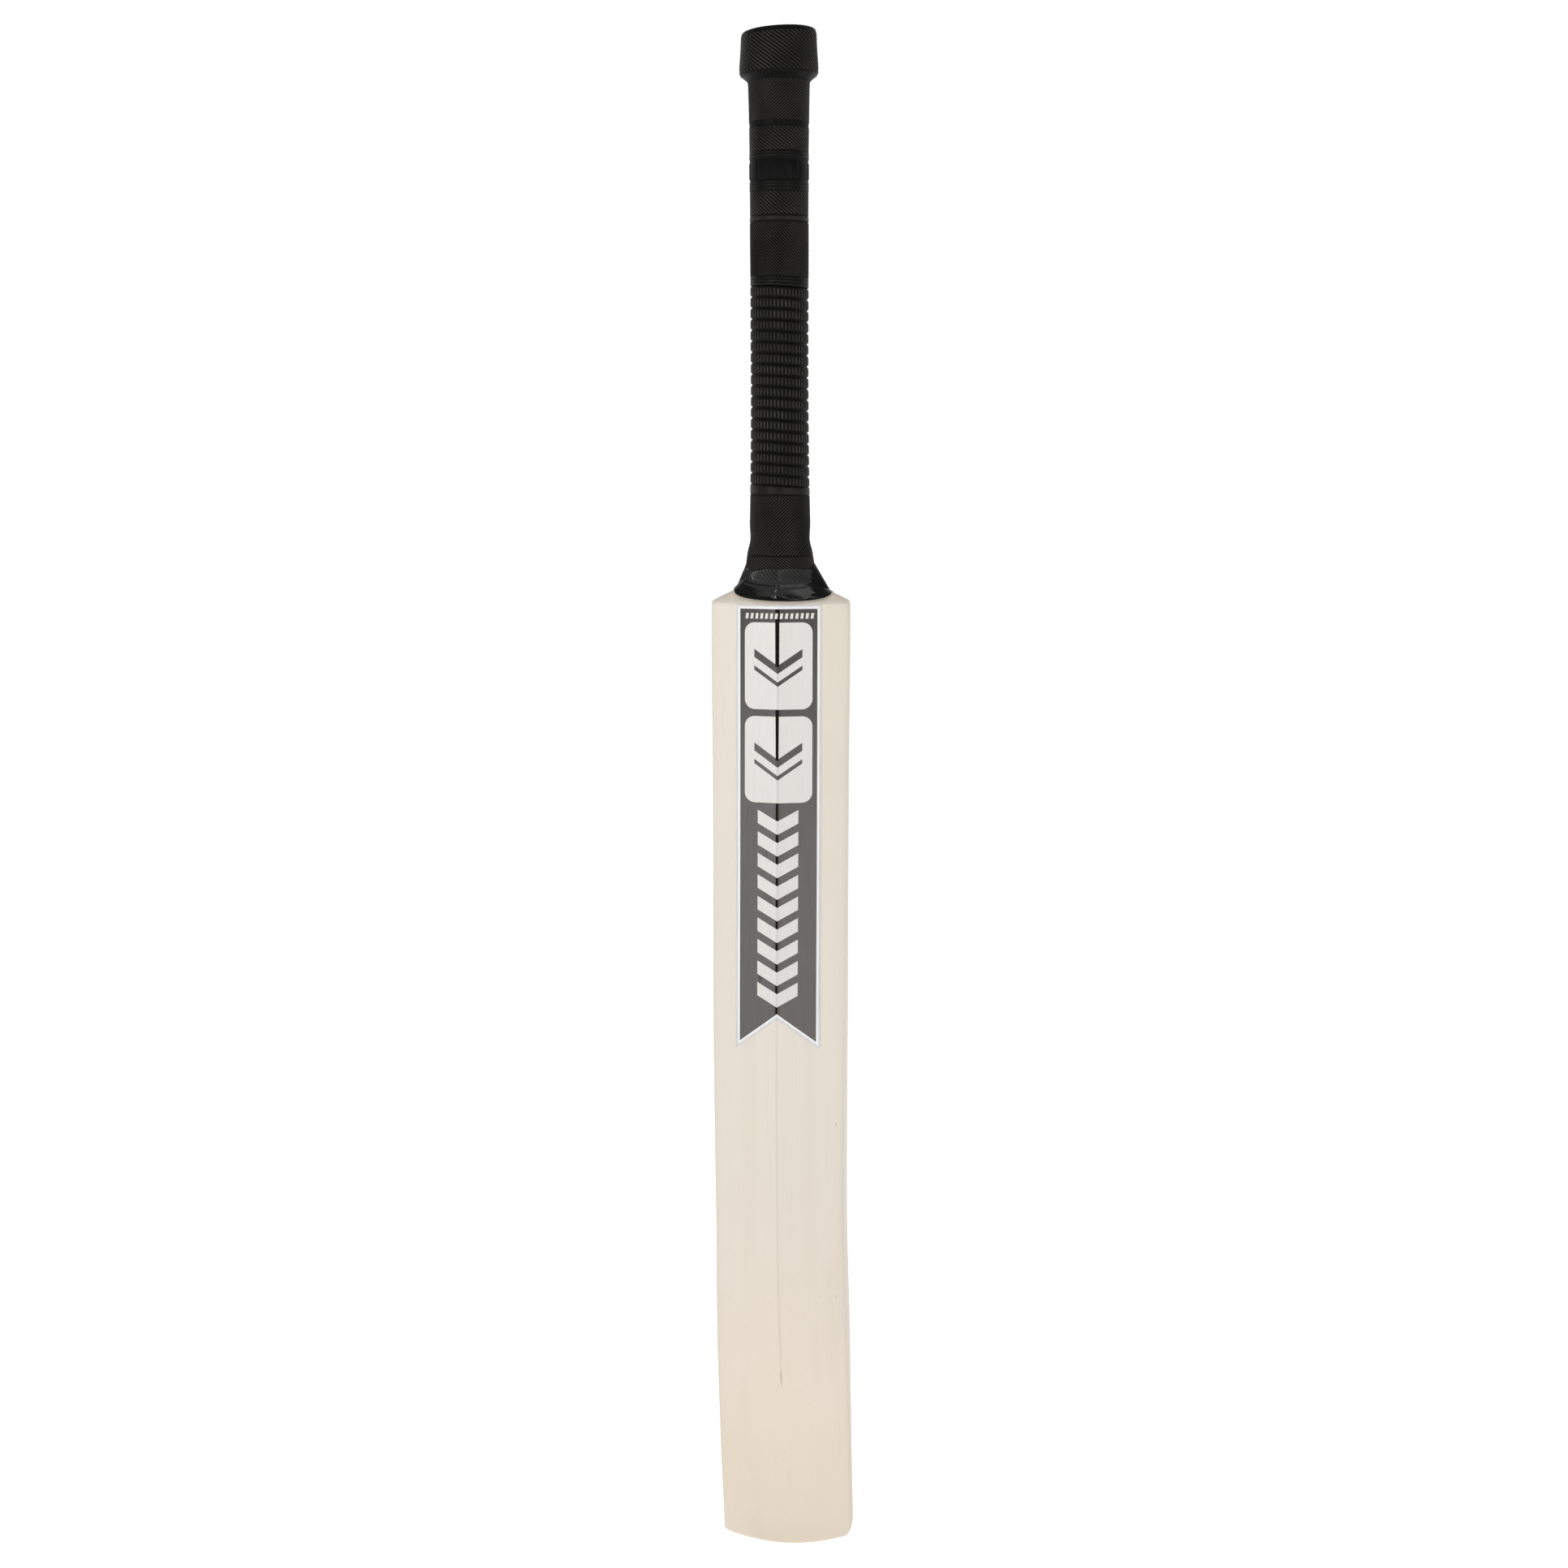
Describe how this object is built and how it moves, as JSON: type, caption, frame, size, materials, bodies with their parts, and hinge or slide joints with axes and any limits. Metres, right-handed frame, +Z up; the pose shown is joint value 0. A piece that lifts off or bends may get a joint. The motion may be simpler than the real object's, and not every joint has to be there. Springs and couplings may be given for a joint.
{
  "type": "cricket bat",
  "caption": "Narrow-bladed practice cricket bat: ridged, bowed willow blade, spliced cane handle under a ribbed rubber grip with a collar, and a swallow-tailed back label.",
  "frame": {"origin": "centre of the overall bounding box at the lowest point of the toe", "axes": "+Z up the handle, along the length; +Y towards the hitting face and -Y towards the ridged back; +X across the blade"},
  "size_m": [0.076, 0.073, 0.86],
  "materials": {
    "willow": "pale willow, lightly sealed, satin",
    "cane": "planed cane, satin",
    "spring_rubber": "matt",
    "twine": "waxed twine",
    "grip_rubber": "moulded rubber, slight sheen",
    "tape": "gloss, wrinkled",
    "label": "printed film, semi-gloss"
  },
  "bodies": {
    "root": {"blade": "willow", "cane_strip_1": "cane", "cane_strip_2": "cane", "cane_strip_3": "cane", "cane_strip_4": "cane", "cane_strip_5": "cane", "cane_strip_6": "cane", "cane_strip_7": "cane", "cane_strip_8": "cane", "cane_strip_9": "cane", "cane_strip_10": "cane", "cane_strip_11": "cane", "cane_strip_12": "cane", "rubber_spring_1": "spring_rubber", "rubber_spring_2": "spring_rubber", "rubber_spring_3": "spring_rubber", "handle_binding": "twine", "grip": "grip_rubber", "grip_tape": "tape", "back_label": "label"}
  },
  "joints": []
}
